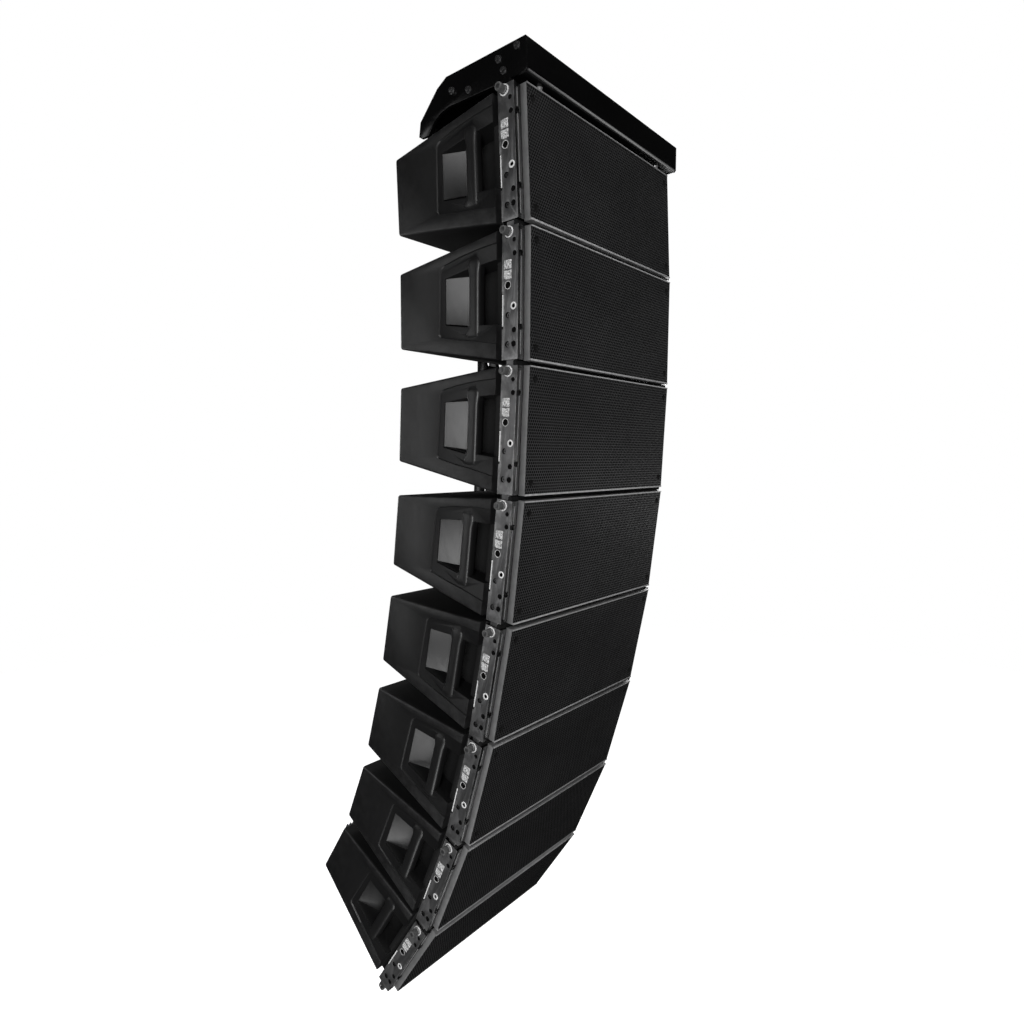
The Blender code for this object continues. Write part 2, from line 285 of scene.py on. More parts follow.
class Nodes:
    """Short way to wire a Principled material."""

    def __init__(self, name):
        self.material = bpy.data.materials.new(name)
        self.material.use_nodes = True
        self.tree = self.material.node_tree
        self.shader = self.tree.nodes["Principled BSDF"]
        self.coords = self.tree.nodes.new("ShaderNodeTexCoord")

    def add(self, kind, **inputs):
        node = self.tree.nodes.new(kind)
        for key, value in inputs.items():
            node.inputs[key.replace("_", " ")].default_value = value
        return node

    def link(self, source, target):
        self.tree.links.new(source, target)

    def feed(self, target, value):
        """Give an input a colour, a number or another node's output."""
        if isinstance(value, tuple):
            target.default_value = (*value, 1.0)
        elif isinstance(value, (int, float)):
            target.default_value = value
        else:
            self.link(value, target)

    def noise(self, scale, detail=4.0, roughness=0.55, stretch=None):
        """Fractal noise over the piece's own coordinates."""
        texture = self.add("ShaderNodeTexNoise", Scale=scale, Detail=detail, Roughness=roughness)
        vector = self.coords.outputs["Object"]
        if stretch:
            mapping = self.add("ShaderNodeMapping", Scale=stretch)
            self.link(vector, mapping.inputs["Vector"])
            vector = mapping.outputs["Vector"]
        self.link(vector, texture.inputs["Vector"])
        return texture.outputs["Fac"]

    def math(self, operation, *values):
        node = self.tree.nodes.new("ShaderNodeMath")
        node.operation = operation
        for target, value in zip(node.inputs, values):
            self.feed(target, value)
        return node.outputs["Value"]

    def spread(self, value, low, high, out_low=0.0, out_high=1.0):
        node = self.add("ShaderNodeMapRange", From_Min=low, From_Max=high, To_Min=out_low, To_Max=out_high)
        self.link(value, node.inputs["Value"])
        return node.outputs["Result"]

    def patches(self, scale, detail, roughness, low, high, out_low=0.0, out_high=1.0):
        """Noise mapped to a range."""
        return self.spread(self.noise(scale, detail, roughness), low, high, out_low, out_high)

    def mix(self, factor, first, second):
        node = self.tree.nodes.new("ShaderNodeMix")
        node.data_type = "RGBA"
        colours = [socket for socket in node.inputs if socket.type == "RGBA"]
        for target, value in zip(colours, (first, second)):
            self.feed(target, value)
        self.feed(node.inputs["Factor"], factor)
        return [socket for socket in node.outputs if socket.type == "RGBA"][0]

    def bump(self, height, strength, distance):
        node = self.add("ShaderNodeBump", Strength=strength, Distance=distance)
        self.link(height, node.inputs["Height"])
        return node.outputs["Normal"]

    def edge_wear(self, low=0.52, high=0.60):
        """Patchy mask along the sharp edges."""
        geometry = self.tree.nodes.new("ShaderNodeNewGeometry")
        sharp = self.spread(geometry.outputs["Pointiness"], low, high)
        patchy = self.patches(38.0, 6.0, 0.7, 0.42, 0.62)
        return self.math("MULTIPLY", sharp, patchy)

    def finish(self, colour, roughness, normal=None, metallic=0.0, specular=0.5):
        inputs = self.shader.inputs
        self.feed(inputs["Base Color"], colour)
        self.feed(inputs["Roughness"], roughness)
        self.feed(inputs["Metallic"], metallic)
        self.feed(inputs["Specular IOR Level"], specular)
        if normal is not None:
            self.link(normal, inputs["Normal"])
        return self.material


def moulded_plastic(name, specular):
    """Black polypropylene with a fine spark texture, scuffed on its edges."""
    make = Nodes(name)
    tone = make.patches(3.5, 4.0, 0.55, 0.30, 0.70)
    colour = make.mix(tone, (0.0044, 0.0044, 0.0046), (0.0068, 0.0068, 0.0070))
    colour = make.mix(make.math("MULTIPLY", make.edge_wear(), 0.40), colour, (0.060, 0.060, 0.061))
    grain = make.noise(900.0, 2.0, 0.6)
    scuffs = make.noise(24.0, 8.0, 0.72, stretch=(1.0, 4.0, 1.0))
    roughness = make.spread(scuffs, 0.30, 0.70, 0.37, 0.45)
    normal = make.bump(grain, 0.20, 0.0006)
    return make.finish(colour, roughness, normal, specular=specular)


def powder_coat():
    """Satin black powder coat with orange peel."""
    make = Nodes("powder_coat")
    tone = make.patches(4.0, 3.0, 0.5, 0.30, 0.70)
    colour = make.mix(tone, (0.0013, 0.0013, 0.0014), (0.0018, 0.0018, 0.0019))
    roughness = make.patches(90.0, 2.0, 0.5, 0.20, 0.80, 0.21, 0.27)
    normal = make.bump(make.noise(420.0, 2.0, 0.5), 0.05, 0.0004)
    return make.finish(colour, roughness, normal)


def rigging_steel():
    """Dark grey coated steel, brushed along its length, worn bright on edges."""
    make = Nodes("rigging_steel")
    brushed = make.noise(260.0, 4.0, 0.6, stretch=(1.0, 1.0, 0.06))
    blotches = make.patches(9.0, 4.0, 0.55, 0.30, 0.70)
    colour = make.mix(blotches, (0.135, 0.135, 0.137), (0.175, 0.175, 0.178))
    colour = make.mix(make.math("MULTIPLY", brushed, 0.25), colour, (0.200, 0.200, 0.203))
    colour = make.mix(make.edge_wear(0.515, 0.58), colour, (0.34, 0.34, 0.34))
    roughness = make.spread(brushed, 0.30, 0.70, 0.38, 0.50)
    normal = make.bump(brushed, 0.08, 0.0003)
    return make.finish(colour, roughness, normal, metallic=0.90, specular=0.35)


def grille_frame_paint():
    """Mid-grey painted edge of the grille tray."""
    make = Nodes("grille_frame_paint")
    tone = make.patches(9.0, 5.0, 0.6, 0.35, 0.68)
    colour = make.mix(tone, (0.250, 0.250, 0.252), (0.310, 0.310, 0.313))
    colour = make.mix(make.math("MULTIPLY", make.edge_wear(), 0.5), colour, (0.36, 0.36, 0.36))
    roughness = make.patches(80.0, 4.0, 0.6, 0.30, 0.70, 0.44, 0.58)
    normal = make.bump(make.noise(500.0, 2.0, 0.5), 0.10, 0.0005)
    return make.finish(colour, roughness, normal, metallic=0.80, specular=0.35)


def perforated_steel():
    """Black powder-coated sheet with staggered round holes."""
    make = Nodes("perforated_steel")
    hole_pitch = 0.0078
    row_pitch = hole_pitch * math.sqrt(3.0) / 2.0
    hole_share = 0.385  # hole radius as a share of the pitch
    hole_edge = 0.05
    split = make.tree.nodes.new("ShaderNodeSeparateXYZ")
    make.link(make.coords.outputs["Object"], split.inputs["Vector"])
    row = make.math("DIVIDE", split.outputs["Z"], row_pitch)
    row_number = make.math("FLOOR", row)
    stagger = make.math("MULTIPLY", make.math("PINGPONG", row_number, 1.0), 0.5)
    column = make.math("ADD", make.math("DIVIDE", split.outputs["X"], hole_pitch), stagger)
    across = make.math("SUBTRACT", make.math("FRACT", column), 0.5)
    up = make.math("MULTIPLY", make.math("SUBTRACT", make.math("FRACT", row), 0.5), row_pitch / hole_pitch)
    squares = make.math("ADD", make.math("MULTIPLY", across, across), make.math("MULTIPLY", up, up))
    metal = make.spread(make.math("SQRT", squares), hole_share - hole_edge, hole_share + hole_edge)
    tone = make.patches(5.0, 4.0, 0.6, 0.35, 0.70)
    paint = make.mix(tone, (0.030, 0.030, 0.031), (0.046, 0.046, 0.047))
    colour = make.mix(metal, (0.0008, 0.0008, 0.0008), paint)
    roughness = make.spread(metal, 0.0, 1.0, 0.90, 0.42)
    normal = make.bump(metal, 0.6, 0.0008)
    return make.finish(colour, roughness, normal, specular=0.10)


def plain_metal(name, colour, roughness, metallic=1.0):
    """Small turned or plated part with fine machining marks."""
    make = Nodes(name)
    marks = make.noise(600.0, 3.0, 0.6)
    darker = tuple(0.7 * channel for channel in colour)
    shade = make.mix(make.patches(45.0, 5.0, 0.6, 0.35, 0.68), darker, colour)
    rough = make.spread(marks, 0.30, 0.70, roughness - 0.08, roughness + 0.10)
    return make.finish(shade, rough, make.bump(marks, 0.08, 0.0003), metallic=metallic)


def plain_soft(name, colour, roughness, grain_scale, strength):
    """Matte rubber, foam or paper."""
    make = Nodes(name)
    grain = make.noise(grain_scale, 5.0, 0.65)
    lighter = tuple(1.8 * channel for channel in colour)
    shade = make.mix(make.spread(grain, 0.35, 0.68), colour, lighter)
    rough = make.spread(grain, 0.30, 0.70, roughness - 0.06, roughness + 0.06)
    return make.finish(shade, rough, make.bump(grain, strength, 0.0008), specular=0.25)


PLASTIC = moulded_plastic("moulded_plastic", 0.50)
FIELD = moulded_plastic("handle_field", 0.30)
PAINT = powder_coat()
RIG = rigging_steel()
GRILLE_EDGE = grille_frame_paint()
PERFORATED = perforated_steel()
BRIGHT = plain_metal("bright_steel", (0.72, 0.72, 0.72), 0.34, 0.75)
DARK_STEEL = plain_metal("dark_steel", (0.110, 0.110, 0.113), 0.38, 0.8)
BOLT = plain_metal("zinc_bolt", (0.150, 0.150, 0.152), 0.28, 0.9)
KNOB = plain_soft("knob_grey", (0.060, 0.060, 0.060), 0.42, 300.0, 0.15)
FOAM = plain_soft("acoustic_foam", (0.0015, 0.0015, 0.0016), 0.92, 700.0, 0.8)
CONE = plain_soft("paper_cone", (0.014, 0.014, 0.015), 0.75, 260.0, 0.35)
RUBBER = plain_soft("rubber_surround", (0.008, 0.008, 0.008), 0.62, 500.0, 0.15)
BAFFLE_PAINT = plain_soft("baffle_paint", (0.007, 0.007, 0.007), 0.70, 350.0, 0.3)
# painted shade: near-black colour laid on shell faces that lie in shade
PAINTED_SHADE = plain_soft("painted_shade_black", (0.0022, 0.0022, 0.0023), 0.60, 300.0, 0.2)
# painted shade: near-black colour for the inside of holes and screw wells
HOLE_SHADE = plain_soft("painted_hole_shade", (0.0010, 0.0010, 0.0010), 0.90, 300.0, 0.1)
BUSH = plain_soft("bright_bush", (0.44, 0.44, 0.44), 0.30, 200.0, 0.05)
LIP = plain_soft("lip_paint", (0.26, 0.26, 0.262), 0.45, 90.0, 0.05)
LABEL = plain_soft("label_ink", (0.46, 0.46, 0.46), 0.60, 200.0, 0.1)
ANODISED = plain_metal("anodised_panel", (0.075, 0.075, 0.078), 0.46, 0.6)
BLUE_SHELL = plain_soft("inlet_blue", (0.020, 0.110, 0.420), 0.45, 200.0, 0.1)
GREY_SHELL = plain_soft("outlet_grey", (0.260, 0.260, 0.265), 0.45, 200.0, 0.1)


# ---- cabinet shell

def tapered(outer, inner, low, high):
    """Solid between an outline (y, z) at x = low and a smaller one at x = high."""
    return skinned([[(low, y, z) for y, z in outer], [(high, y, z) for y, z in inner]], "tapered")


def pulled_in(outline, amount):
    """Outline moved inwards by an amount, corner by corner."""
    count = len(outline)
    middle = Vector((sum(y for y, z in outline) / count, sum(z for y, z in outline) / count))
    moved = []
    for index, corner in enumerate(outline):
        here = Vector(corner)
        before = (here - Vector(outline[index - 1])).normalized()
        after = (Vector(outline[(index + 1) % count]) - here).normalized()
        normals = [Vector((-run.y, run.x)) for run in (before, after)]
        first, second = [-normal if normal.dot(middle - here) < 0.0 else normal for normal in normals]
        lean = (first + second).normalized()
        moved.append(tuple(here + lean * (amount / max(0.4, lean.dot(first)))))
    return moved


def panel_cutter():
    """Shallow field around the handle: walls sloping by PANEL_SLOPE down to a floor at PANEL_DEPTH."""
    rim = [
        (0.0795, 0.1165), (0.140, 0.1120), (0.200, 0.1030), (0.246, 0.0930), (0.2555, 0.0865),
        (0.2590, 0.0770), (0.2635, -0.0680), (0.2590, -0.0745), (0.200, -0.0860), (0.150, -0.0930),
        (0.0795, -0.1060),
    ]
    floor = pulled_in(rim, PANEL_SLOPE)
    outside = 0.012  # how far the cutter reaches out of the shell
    grown = pulled_in(rim, -PANEL_SLOPE * outside / PANEL_DEPTH)
    return tapered(grown, floor, -SHELL_HALF - outside, -SHELL_HALF + PANEL_DEPTH)


def pocket_cutter():
    """Hand space: deep behind and ahead of the grip, its floor a flat ramp towards the rear."""
    mouth = [
        (0.070, 0.0815), (0.165, 0.0745), (0.2440, 0.0630),
        (0.2440, -0.0440), (0.165, -0.0560), (0.070, -0.0635),
    ]
    draft_down = 0.0035
    draft_up = 0.0030
    deep = [(y, z - draft_down if z > 0.0 else z + draft_up) for y, z in mouth]
    walls = tapered(mouth, deep, -0.356, -0.280)
    neck = -NECK_HALF - 0.0005
    plan = [
        (CLEAR_OF_LEFT, 0.070), (neck, 0.070), (neck, 0.0935), (-0.289, 0.0960),
        (-0.289, 0.1630), (-0.286, 0.1690), (-0.3425, 0.2440), (CLEAR_OF_LEFT, 0.2445),
    ]
    return evaluated(walls, [boolean("INTERSECT", prism(plan, "Z", -0.2, 0.2))], "pocket")


def groove_cutter():
    """Narrow gap along the foot of the ramp."""
    outline = [(0.1700, -0.0553), (0.2435, -0.0440), (0.2435, -0.0472), (0.1700, -0.0588)]
    return prism(outline, "X", -0.356, GROOVE_END)


def grip_mesh():
    """Upright grip with a bulbous head and a broad foot, as rounded sections (z, y, wide, deep)."""
    sections = [
        (-0.0864, 0.1545, 0.0120, 0.0050), (-0.0852, 0.1550, 0.0175, 0.0095),
        (-0.0810, 0.1555, 0.0215, 0.0128), (-0.0745, 0.1560, 0.0225, 0.0140),
        (-0.0685, 0.1545, 0.0205, 0.0143), (-0.0620, 0.1520, 0.0178, 0.0143),
        (-0.0560, 0.1510, 0.0168, 0.0143), (0.0570, 0.1510, 0.0168, 0.0143),
        (0.0650, 0.1512, 0.0176, 0.0143), (0.0720, 0.1518, 0.0200, 0.0144),
        (0.0800, 0.1520, 0.0213, 0.0144), (0.0870, 0.1520, 0.0208, 0.0142),
        (0.0930, 0.1520, 0.0184, 0.0130), (0.0975, 0.1520, 0.0138, 0.0102),
        (0.0995, 0.1520, 0.0080, 0.0062),
    ]
    middle = -SHELL_HALF + 0.0142
    squareness = 0.62  # 1 gives an ellipse, 0 a rectangle
    rings = []
    for z, y, wide, deep in sections:
        ring = []
        for cos, sin in turns(36):
            across = math.copysign(abs(cos) ** squareness, cos)
            along = math.copysign(abs(sin) ** squareness, sin)
            ring.append((middle + deep * across, y + wide * along, z))
        rings.append(ring)
    return skinned(rings, "grip")


def rounded_wedge():
    """Wedge behind a level front, its rear and long edges rounded; the front edges stay crisp."""
    side = [(SHELL_FRONT, 0.142), (DEPTH, 0.0974), (DEPTH, -0.0892), (SHELL_FRONT, -0.141)]
    shape = bmesh.new()
    shape.from_mesh(prism(side, "X", -SHELL_HALF, SHELL_HALF))
    soft = [edge for edge in shape.edges if max(vert.co.y for vert in edge.verts) > DEPTH - 0.010]
    bmesh.ops.bevel(shape, geom=soft, offset=SHELL_ROUND, segments=4, profile=0.5, affect="EDGES")
    return mesh_from(shape, "wedge")


def paint_shell(shell):
    """Painted shade, a near-black colour, on the shell faces that lie in shade, and its own finish on the
    field around the handle.
    """
    finishes = (PLASTIC, PAINTED_SHADE, FIELD)
    painted(shell, *finishes)
    for face in shell.polygons:
        x, y, z = face.center
        wide, tall, level = abs(x), abs(z), abs(face.normal.z)
        depth_in = SHELL_HALF - wide
        # painted shade: the deep pocket, the tops and undersides, the ceiling over the ramp, the groove's end
        # and the neck are near-black for the shade there
        cup_in_shade = 0.0690 < y < 0.1700 and tall < 0.083 and 0.280 < wide < 0.3300
        shaded_lid = level > 0.8 and y > SHELL_FRONT and tall > 0.0885
        over_ramp = 0.160 < y < 0.246 and 0.0045 < depth_in < 0.060
        shade = over_ramp and 0.040 < tall < 0.080 and level > 0.5
        shaded_gap_end = over_ramp and -0.060 < z < -0.044 and wide < 0.3185
        neck = wide < NECK_HALF + 0.001 and y < SHELL_FRONT + 0.012
        if cup_in_shade or shaded_lid or shade or shaded_gap_end or neck:
            face.material_index = finishes.index(PAINTED_SHADE)
        elif abs(depth_in - PANEL_DEPTH) < 0.0006 and y < 0.262:
            face.material_index = finishes.index(FIELD)


def shell_mesh():
    """Hollow moulded enclosure with its pockets, grips and rear bay."""
    plug_half = GRILLE_HALF_WIDTH - 0.0030
    neck_end = SHELL_FRONT + 0.010
    neck = block((-NECK_HALF, NECK_HALF), (GRILLE_DEPTH + 0.0008, neck_end), (-0.1388, 0.1398))
    plug = block((-plug_half, plug_half), (0.006, 0.040), (-0.1380, 0.1380))
    mouth = block((-0.300, 0.300), (-0.010, BAFFLE_Y + 0.012), (-0.118, 0.118))
    inside = prism([
        (0.040, 0.118), (0.090, 0.128), (0.366, 0.089), (0.366, -0.082), (0.090, -0.127), (0.040, -0.118),
    ], "X", -0.280, 0.280)
    bay = block((-0.036, 0.036), (0.378, 0.420), (-0.200, 0.200))
    solid = carved(rounded_wedge(), [neck, plug], [mouth, inside, bay], "solid")
    cutters = []
    for cutter in (panel_cutter(), pocket_cutter(), groove_cutter()):
        cutters += [cutter, mirrored(cutter)]
    cut = carved(solid, [], cutters, "cut", 0.0012, 28.0)
    grip = grip_mesh()
    whole = carved(cut, [grip, mirrored(grip)], [], "cabinet_shell")
    paint_shell(whole)
    return smooth(whole, SKIN_SMOOTH_DEG)


def strip_section(y_low, y_high, foot, crown, chamfer, drop):
    """Section of a weather strip with a chamfered top."""
    return [
        (y_low, foot), (y_low, crown - drop), (y_low + chamfer, crown),
        (y_high - chamfer, crown), (y_high, crown - drop), (y_high, foot),
    ]


def seal_mesh():
    """Soft weather strips on the module's top that close the gap to the one above."""
    strips = (
        (strip_section(0.0480, 0.0730, 0.1395, 0.1548, 0.0030, 0.0023), 0.3270),
        (strip_section(0.0212, 0.0298, 0.1395, 0.1550, 0.0016, 0.0015), 0.3270),
        (strip_section(0.0212, 0.0298, 0.1446, 0.1550, 0.0016, 0.0015), 0.3490),
    )
    return gathered([(prism(section, "X", -half, half), FOAM) for section, half in strips], "gap_seal")


def rear_rail_mesh():
    """Steel rail in the rear bay that carries the splay link."""
    rail = block((-RAIL_HALF, RAIL_HALF), (0.3785, 0.432), (-0.082, 0.088))
    cuts = [drill(LINK_Y, LINK_Z, LINK_HOLE_RADIUS, -0.050, 0.050, 20)]
    for height in (-0.020, 0.008, 0.036, 0.064):
        cuts.append(drill(LINK_Y, height, 0.0050, -0.050, 0.050, 20))
    return painted(built(rail, cuts=cuts, bevel=0.0012, name="rear_rail"), RIG)


# ---- drivers behind the grille

def baffle_mesh():
    """Front baffle with two woofer openings and the waveguide mouth."""
    plate = block((-0.2995, 0.2995), (BAFFLE_Y, BAFFLE_Y + 0.0115), (-0.1175, 0.1175))
    cuts = []
    for side in (-1.0, 1.0):
        hole = circle((side * WOOFER_X, 0.0), WOOFER_RADIUS - 0.012, 48)
        cuts.append(prism(hole, "Y", BAFFLE_Y - 0.010, BAFFLE_Y + 0.030))
    cuts.append(block((-0.040, 0.040), (BAFFLE_Y - 0.010, BAFFLE_Y + 0.030), (-0.105, 0.105)))
    return painted(built(plate, cuts=cuts, bevel=0.0010, name="baffle"), BAFFLE_PAINT)


def woofer_mesh():
    """Ten-inch woofer facing the front: gasket, surround, cone, dust cap, basket and magnet."""
    centre = (0.0, BAFFLE_Y - 0.0005, 0.0)
    outer = WOOFER_RADIUS
    gasket = lathe([
        (0.0, outer), (-0.003, outer - 0.001), (-0.003, outer - 0.011), (0.0, outer - 0.012),
    ], "Y", centre, 64, True)
    roll = [(-y, x) for x, y in arc((outer - 0.019, 0.0), 0.007, 0.0, 180.0)]
    roll += [(along + 0.0012, radius) for along, radius in reversed(roll)]
    surround = lathe(roll, "Y", centre, 64, True)
    cone = lathe([
        (0.0, outer - 0.026), (0.030, 0.040), (0.034, 0.026), (0.036, 0.026), (0.032, 0.041),
        (0.002, outer - 0.026),
    ], "Y", centre, 64, True)
    cap = lathe([(0.033, 0.030), (0.026, 0.026), (0.020, 0.016), (0.018, 0.004)], "Y", centre, 48)
    basket = lathe([(0.0125, outer - 0.013), (0.050, 0.062), (0.062, 0.058), (0.062, 0.030)], "Y", centre, 48)
    magnet = lathe([
        (0.0622, 0.054), (0.0640, 0.056), (0.082, 0.056), (0.084, 0.053), (0.090, 0.030),
    ], "Y", centre, 48)
    return gathered([
        (gasket, RUBBER), (surround, RUBBER), (cone, CONE), (cap, CONE), (basket, DARK_STEEL), (magnet, BOLT),
    ], "woofer")


def waveguide_mesh():
    """Tall slot waveguide with flared walls, and its compression driver behind."""
    front = BAFFLE_Y - 0.001
    outer = [(-0.0395, front), (0.0395, front), (0.012, front + 0.080), (-0.012, front + 0.080)]
    throat = prism([
        (-0.036, front - 0.010), (0.036, front - 0.010), (0.007, front + 0.078), (-0.007, front + 0.078),
    ], "Z", -0.101, 0.101)
    horn = built(prism(outer, "Z", -0.1045, 0.1045), cuts=[throat], bevel=0.0008)
    driver = lathe([
        (0.0802, 0.030), (0.092, 0.030), (0.093, 0.052), (0.128, 0.052), (0.134, 0.046), (0.138, 0.020),
    ], "Y", (0.0, front, 0.0), 48)
    return gathered([(horn, BAFFLE_PAINT), (driver, DARK_STEEL)], "waveguide")


# ---- grille

SCREW_SPOTS = [(x, z) for x in (-0.304, 0.304) for z in (-0.116, 0.116)]


def grille_frame_mesh():
    """Grey folded edge of the grille: walls all round and lips along the top and the bottom."""
    half_width, half_height = GRILLE_HALF_WIDTH, GRILLE_HALF_HEIGHT
    tray = block((-half_width, half_width), (0.0, GRILLE_DEPTH), (-half_height, half_height))
    wide = half_width - SHEET_WALL
    tall = half_height - SHEET_WALL
    inside = block((-wide, wide), (SHEET_WALL, 0.050), (-tall, tall))
    bottom_lip = 0.0042
    top_lip = 0.0030
    between_lips = (-half_height + bottom_lip, half_height - top_lip)
    window = block((-wide - 0.0010, wide + 0.0010), (-0.010, 0.050), between_lips)
    fold = block((-0.340, 0.340), (-0.010, 0.0024), between_lips)
    mesh = built(tray, cuts=[inside, window, fold], bevel=0.0006, name="grille_frame")
    finishes = (GRILLE_EDGE, LIP)
    painted(mesh, *finishes)
    for face in mesh.polygons:
        if face.normal.y < -0.5 and abs(face.center.z) > 0.130:
            face.material_index = finishes.index(LIP)
    return mesh


def grille_sheet_mesh():
    """Perforated sheet with four screw wells."""
    wide = GRILLE_HALF_WIDTH - 0.0003
    tall = GRILLE_HALF_HEIGHT - 0.0018
    sheet = block((-wide, wide), (0.0012, 0.0023), (-tall, tall))
    cuts = [prism(circle(spot, 0.0078), "Y", -0.010, 0.010) for spot in SCREW_SPOTS]
    parts = [(built(sheet, cuts=cuts), PERFORATED)]
    for x, z in SCREW_SPOTS:
        spot = (x, 0.0, z)
        well = lathe([
            (0.0012, 0.0086), (0.0012, 0.0076), (0.0044, 0.0046),
            (0.0056, 0.0046), (0.0058, 0.0082), (0.0030, 0.0086),
        ], "Y", spot, 24, True)
        head = lathe([(0.0056, 0.0044), (0.0032, 0.0044), (0.0025, 0.0034), (0.0023, 0.0020)], "Y", spot, 20)
        socket = prism(circle((x, z), 0.0016, 6), "Y", -0.010, 0.0045)
        # painted shade: the screw well and its head are near-black for the shade in the hollow
        parts += [(well, HOLE_SHADE), (built(head, cuts=[socket]), HOLE_SHADE)]
    return gathered(parts, "grille_sheet")


def foam_mesh():
    """Black foam behind the sheet, with a softly uneven face."""
    shape = bmesh.new()
    bmesh.ops.create_grid(shape, x_segments=60, y_segments=26, size=1.0)
    front = 0.0045
    back = 0.0058
    for vert in shape.verts:
        x = vert.co.x * 0.316
        z = vert.co.y * 0.134
        wave = math.sin(x * 61.0) * math.cos(z * 83.0) * 0.0004
        vert.co = Vector((x, front + wave, z))
    grown = bmesh.ops.extrude_face_region(shape, geom=list(shape.faces))
    for item in grown["geom"]:
        if isinstance(item, bmesh.types.BMVert):
            item.co.y = back
    return smooth(painted(mesh_from(shape, "grille_foam"), FOAM))


# ---- side rigging

# holes in an upright's side face, as (y, z, radius)
PLAIN_HOLES = [
    (0.0280, 0.1130, 0.0052), (0.0265, 0.0840, 0.0058), (0.0270, -0.0800, 0.0062), (0.0280, -0.1100, 0.0066),
]
SCREW_HOLES = [(0.0450, -0.0465, 0.0066), (0.0460, -0.1100, 0.0070)]
RING_HOLES = [(0.0450, 0.0180, 0.0078), (0.0285, -0.0280, 0.0050)]
HOLE_FLOOR = -0.3375


def rigging_mesh():
    """Steel upright with its pocket, lug and drilled holes."""
    upright = block((-HALF_WIDTH, -0.330), (0.016, 0.062), (-0.144, 0.144))
    lug_outline = [(PIN_Y + LUG_RADIUS, -0.130), (PIN_Y - LUG_RADIUS, -0.130)]
    lug_outline += arc((PIN_Y, PIN_Z - PITCH), LUG_RADIUS, 180.0, 360.0, 12)
    lug = prism(lug_outline, "X", -0.344, -0.336)
    cuts = [block((-0.345, -0.335), (PIN_Y - 0.0145, PIN_Y + 0.0145), (0.117, 0.160))]
    for height in (PIN_Z, PIN_Z - PITCH):
        cuts.append(drill(PIN_Y, height, PIN_HOLE_RADIUS, CLEAR_OF_LEFT, -0.320))
    for y, z, radius in PLAIN_HOLES + SCREW_HOLES + RING_HOLES:
        cuts.append(drill(y, z, radius, CLEAR_OF_LEFT, HOLE_FLOOR))
    cuts.append(block((CLEAR_OF_LEFT, -0.3475), (0.0578, 0.0640), (-0.0760, 0.0010)))
    mesh = built(upright, joins=[lug], cuts=cuts, bevel=0.0009, name="rigging_upright")
    finishes = (PAINT, RIG, BUSH)
    painted(mesh, *finishes)
    for face in mesh.polygons:
        on_lug = face.center.z < -0.1445
        if face.center.x < -0.3486 or on_lug:
            face.material_index = finishes.index(RIG)
        if on_lug and abs(face.normal.y) > 0.7:
            face.material_index = finishes.index(BUSH)
    return mesh


def ring(y, z, inner, outer, proud, depth):
    """Flanged bush standing slightly proud of the upright's face."""
    face = -HALF_WIDTH
    return lathe([
        (face + depth, outer), (face - proud * 0.6, outer), (face - proud, outer - 0.0006),
        (face - proud, inner + 0.0005), (face - proud * 0.5, inner), (face + depth, inner),
    ], "X", (0.0, y, z), 32, True)


def hole_shade_lining(y, z, radius):
    """Near-black cup just inside a drilled hole, painted shade for the hole's depth."""
    rim = -HALF_WIDTH + 0.0010
    floor = HOLE_FLOOR - 0.0004
    return lathe([
        (rim, radius + 0.0001), (rim, radius - 0.0003), (floor - 0.0002, radius - 0.0003),
        (floor - 0.0002, 0.0004), (floor, 0.0004), (floor, radius + 0.0001),
    ], "X", (0.0, y, z), 24, True)


def cap_screw(y, z, radius):
    """Socket head screw at the bottom of its hole."""
    floor = HOLE_FLOOR - 0.0003
    stations = [(floor, radius), (floor - 0.0082, radius), (floor - 0.0090, radius - 0.0007)]
    head = lathe(stations, "X", (0.0, y, z), 24)
    socket = drill(y, z, radius * 0.62, CLEAR_OF_LEFT, -0.3415, 6)
    return built(head, cuts=[socket])


def digits_mesh(text, y, z, height, out):
    """Raised number printed on a side face, upright and read from outside."""
    curve = bpy.data.curves.new("digits", "FONT")
    curve.body = text
    curve.size = height
    curve.align_x = "CENTER"
    curve.align_y = "CENTER"
    curve.extrude = 0.00012
    curve.offset = 0.00030
    writer = linked("digits", curve)
    view = bpy.context.evaluated_depsgraph_get()
    mesh = bpy.data.meshes.new_from_object(writer.evaluated_get(view))
    bpy.data.objects.remove(writer, do_unlink=True)
    outward = (0.0, 0.0, out, out * (HALF_WIDTH + 0.0001))
    mesh.transform(Matrix((outward, (out, 0.0, 0.0, y), (0.0, 1.0, 0.0, z), (0.0, 0.0, 0.0, 1.0))))
    return mesh


def label_parts(out):
    """Six rows of splay numbers in two blocks."""
    digit_height = 0.0086
    row_step = 0.0062
    block_gap = 0.0035
    parts = []
    for row in range(6):
        drop = row * row_step + (block_gap if row > 2 else 0.0)
        text = "".join(str((row * 3 + step * 2 + 1) % 10) for step in range(5))
        parts.append((digits_mesh(text, 0.0455, 0.0685 - drop, digit_height, out), LABEL))
    return parts


